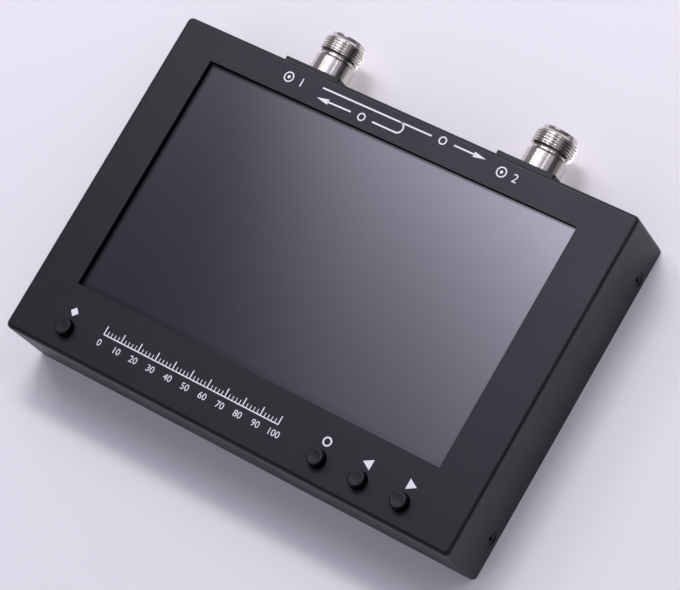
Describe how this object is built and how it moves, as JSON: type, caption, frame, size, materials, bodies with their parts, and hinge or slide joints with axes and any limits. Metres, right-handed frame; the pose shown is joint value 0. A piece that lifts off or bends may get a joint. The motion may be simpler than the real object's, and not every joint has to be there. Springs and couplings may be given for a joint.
{
  "type": "antenna analyzer",
  "caption": "Flat handheld radio test instrument with a recessed touch screen, push keys under it and two threaded coaxial sockets on raised pads along its top edge.",
  "frame": {"origin": "middle of the flat back, in the plane that the instrument rests on", "axes": "+X to the right-hand side of the screen, +Y to the edge with the two sockets, +Z out of the screen"},
  "size_m": [0.191, 0.1473, 0.033],
  "materials": {
    "housing_black": "black anodised, fine satin grain",
    "screw_black": "black oxide",
    "steel": "plain zinc",
    "nickel": "bright nickel plate",
    "gold": "gold plate",
    "ptfe_white": "waxy",
    "screen_glass": "glossy, dark behind",
    "panel_black": "glossy",
    "guide_white": "milky",
    "tape_black": "matt foam",
    "film_amber": "polyimide film",
    "socket_white": "moulded",
    "board_green": "solder mask",
    "part_black": "moulded",
    "key_black": "fine satin",
    "cell_foil": "pouch foil",
    "lead_red": "silicone"
  },
  "bodies": {
    "instrument": {"front_housing": "housing_black", "back_cover": "housing_black", "clinch_nuts": "steel", "side_screws_left": "screw_black", "side_screws_right": "screw_black", "glass_tape": "tape_black", "touch_glass": "screen_glass", "lcd_panel": "panel_black", "light_guide": "guide_white", "backlight_tray": "steel", "display_bracket_left": "steel", "display_bracket_right": "steel", "display_screws": "steel", "display_ribbon": "film_amber", "touch_ribbon": "film_amber", "ribbon_sockets": "socket_white", "main_board": "board_green", "board_screws": "steel", "main_chips": "part_black", "rf_shield_1": "steel", "rf_shield_2": "steel", "synth_shield": "steel", "port_1_shell": "nickel", "port_1_insulator": "ptfe_white", "port_1_contact": "gold", "port_1_washer": "steel", "port_1_nut": "nickel", "port_2_shell": "nickel", "port_2_insulator": "ptfe_white", "port_2_contact": "gold", "port_2_washer": "steel", "port_2_nut": "nickel", "key_board": "board_green", "key_board_screws": "steel", "key_header": "part_black", "key_switches": "part_black", "power_switch": "part_black", "usb_socket": "steel", "usb_tongue": "part_black", "charge_led": "guide_white", "light_pipe": "guide_white", "battery_cell": "cell_foil", "battery_tape": "tape_black", "battery_lead": "lead_red", "battery_plug": "socket_white", "battery_socket": "socket_white"},
    "fn_key_body": {"fn_key": "key_black", "fn_actuator": "part_black"},
    "ctrl_key_body": {"ctrl_key": "key_black", "ctrl_actuator": "part_black"},
    "left_key_body": {"left_key": "key_black", "left_actuator": "part_black"},
    "right_key_body": {"right_key": "key_black", "right_actuator": "part_black"},
    "power_button_body": {"power_button": "key_black", "power_actuator": "part_black"}
  },
  "joints": [
    {"name": "fn_key_press", "type": "slide", "parent": "instrument", "child": "fn_key_body", "axis": [0, 0, -1], "range_m": [0, 0.0004], "stiffness_N_per_m": 2000},
    {"name": "ctrl_key_press", "type": "slide", "parent": "instrument", "child": "ctrl_key_body", "axis": [0, 0, -1], "range_m": [0, 0.0004], "stiffness_N_per_m": 2000},
    {"name": "left_key_press", "type": "slide", "parent": "instrument", "child": "left_key_body", "axis": [0, 0, -1], "range_m": [0, 0.0004], "stiffness_N_per_m": 2000},
    {"name": "right_key_press", "type": "slide", "parent": "instrument", "child": "right_key_body", "axis": [0, 0, -1], "range_m": [0, 0.0004], "stiffness_N_per_m": 2000},
    {"name": "power_button_press", "type": "slide", "parent": "instrument", "child": "power_button_body", "axis": [1, 0, 0], "range_m": [0, 0.0004], "stiffness_N_per_m": 2000}
  ]
}
